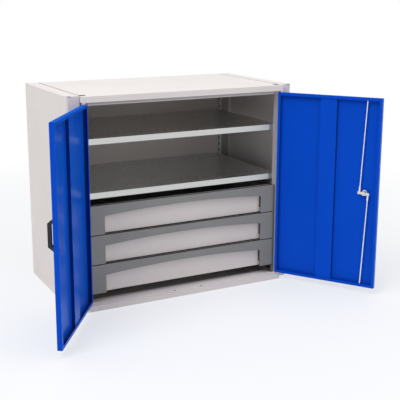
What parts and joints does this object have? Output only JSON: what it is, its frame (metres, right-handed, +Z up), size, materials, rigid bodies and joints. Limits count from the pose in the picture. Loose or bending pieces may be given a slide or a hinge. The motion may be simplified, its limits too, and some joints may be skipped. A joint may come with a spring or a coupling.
{
  "type": "tool cabinet",
  "caption": "Low steel tool cabinet with a pair of hinged doors, adjustable shelves, pull-out drawers on telescopic rails and a rod lock.",
  "frame": {"origin": "on the floor under the middle of the side panels: the base plate's underside, halfway between the sides and halfway between the front posts' faces and the rear edges", "axes": "+Z up, front of the cabinet facing -Y, +X to the right of someone facing the front; the doors rest 124 degrees open and the drawers rest closed"},
  "size_m": [1.3064, 0.8796, 0.81],
  "materials": {
    "carcass_paint": "satin powder coat",
    "door_paint": "satin powder coat",
    "drawer_frame": "fine matt grain",
    "drawer_inset": "satin powder coat",
    "tray_paint": "satin powder coat",
    "shelf_zinc": "galvanised sheet",
    "rail_zinc": "bright zinc",
    "upright_paint": "satin powder coat",
    "back_paint": "satin powder coat",
    "fastener_zinc": "bright zinc",
    "lock_zinc": "bright zinc",
    "handle_black": "fine matt grain",
    "bush_black": "plain matt"
  },
  "bodies": {
    "carcass": {"side_panel_left": "carcass_paint", "side_panel_right": "carcass_paint", "lid": "carcass_paint", "base": "carcass_paint", "back_panel": "back_paint", "front_upright_left": "upright_paint", "front_upright_right": "upright_paint", "rear_upright_left": "upright_paint", "rear_upright_right": "upright_paint", "carcass_bolts": "fastener_zinc", "hinge_pins": "fastener_zinc", "shelf_upper": "shelf_zinc", "shelf_lower": "shelf_zinc", "shelf_clips": "fastener_zinc", "drawer_support_left": "carcass_paint", "drawer_support_right": "carcass_paint", "outer_rails_1": "rail_zinc", "outer_rails_2": "rail_zinc", "outer_rails_3": "rail_zinc"},
    "left_door": {"left_door_pan": "door_paint", "left_door_stiffener": "door_paint", "left_door_bushes": "bush_black", "door_handle": "handle_black", "handle_screws": "fastener_zinc"},
    "right_door": {"right_door_pan": "door_paint", "right_door_stiffener": "door_paint", "right_door_bushes": "bush_black", "lock_housing": "handle_black", "lock_nut": "fastener_zinc"},
    "lock": {"lock_lever": "handle_black", "lock_crank": "lock_zinc", "crank_screw": "lock_zinc", "rod_pins": "lock_zinc"},
    "key": {"lock_cylinder": "lock_zinc"},
    "upper_rod": {"upper_rod": "lock_zinc"},
    "lower_rod": {"lower_rod": "lock_zinc"},
    "drawer_1": {"drawer_tray_1": "tray_paint", "drawer_ends_1": "tray_paint", "drawer_panel_1": "drawer_inset", "drawer_frame_1": "drawer_frame", "drawer_screws_1": "fastener_zinc", "inner_rails_1": "rail_zinc"},
    "rails_1": {"middle_rails_1": "rail_zinc"},
    "drawer_2": {"drawer_tray_2": "tray_paint", "drawer_ends_2": "tray_paint", "drawer_panel_2": "drawer_inset", "drawer_frame_2": "drawer_frame", "drawer_screws_2": "fastener_zinc", "inner_rails_2": "rail_zinc"},
    "rails_2": {"middle_rails_2": "rail_zinc"},
    "drawer_3": {"drawer_tray_3": "tray_paint", "drawer_ends_3": "tray_paint", "drawer_panel_3": "drawer_inset", "drawer_frame_3": "drawer_frame", "drawer_screws_3": "fastener_zinc", "inner_rails_3": "rail_zinc"},
    "rails_3": {"middle_rails_3": "rail_zinc"}
  },
  "joints": [
    {"name": "left_door_hinge", "type": "hinge", "parent": "carcass", "child": "left_door", "pos_m": [-0.416, -0.2755, 0.405], "axis": [0, 0, -1], "range_deg": [-124, 56]},
    {"name": "right_door_hinge", "type": "hinge", "parent": "carcass", "child": "right_door", "pos_m": [0.416, -0.2755, 0.405], "axis": [0, 0, 1], "range_deg": [-124, 56]},
    {"name": "drawer_1_slide", "type": "slide", "parent": "carcass", "child": "drawer_1", "axis": [0, -1, 0], "range_m": [0, 0.4]},
    {"name": "rails_1_slide", "type": "slide", "parent": "carcass", "child": "rails_1", "axis": [0, -1, 0], "range_m": [0, 0.2]},
    {"name": "drawer_2_slide", "type": "slide", "parent": "carcass", "child": "drawer_2", "axis": [0, -1, 0], "range_m": [0, 0.4]},
    {"name": "rails_2_slide", "type": "slide", "parent": "carcass", "child": "rails_2", "axis": [0, -1, 0], "range_m": [0, 0.2]},
    {"name": "drawer_3_slide", "type": "slide", "parent": "carcass", "child": "drawer_3", "axis": [0, -1, 0], "range_m": [0, 0.4]},
    {"name": "rails_3_slide", "type": "slide", "parent": "carcass", "child": "rails_3", "axis": [0, -1, 0], "range_m": [0, 0.2]},
    {"name": "lock_turn", "type": "hinge", "parent": "right_door", "child": "lock", "pos_m": [0.62102, -0.56783, 0.409], "axis": [0.829, 0.5592, 0], "range_deg": [0, 85]},
    {"name": "upper_rod_pivot", "type": "hinge", "parent": "lock", "child": "upper_rod", "pos_m": [0.60077, -0.56106, 0.41048], "axis": [0.829, 0.5592, 0], "range_deg": [-87.63, 0]},
    {"name": "lower_rod_pivot", "type": "hinge", "parent": "lock", "child": "lower_rod", "pos_m": [0.61971, -0.58914, 0.40752], "axis": [0.829, 0.5592, 0], "range_deg": [-87.58, 0]},
    {"name": "key_turn", "type": "hinge", "parent": "lock", "child": "key", "pos_m": [0.62102, -0.56783, 0.409], "axis": [0.829, 0.5592, 0], "range_deg": [0, 90]}
  ],
  "couplings": [
    {"joint": "rails_1_slide", "follows": "drawer_1_slide", "ratio": 0.5},
    {"joint": "rails_2_slide", "follows": "drawer_2_slide", "ratio": 0.5},
    {"joint": "rails_3_slide", "follows": "drawer_3_slide", "ratio": 0.5},
    {"joint": "upper_rod_pivot", "follows": "lock_turn", "ratio": -1.0308},
    {"joint": "lower_rod_pivot", "follows": "lock_turn", "ratio": -1.0302}
  ]
}
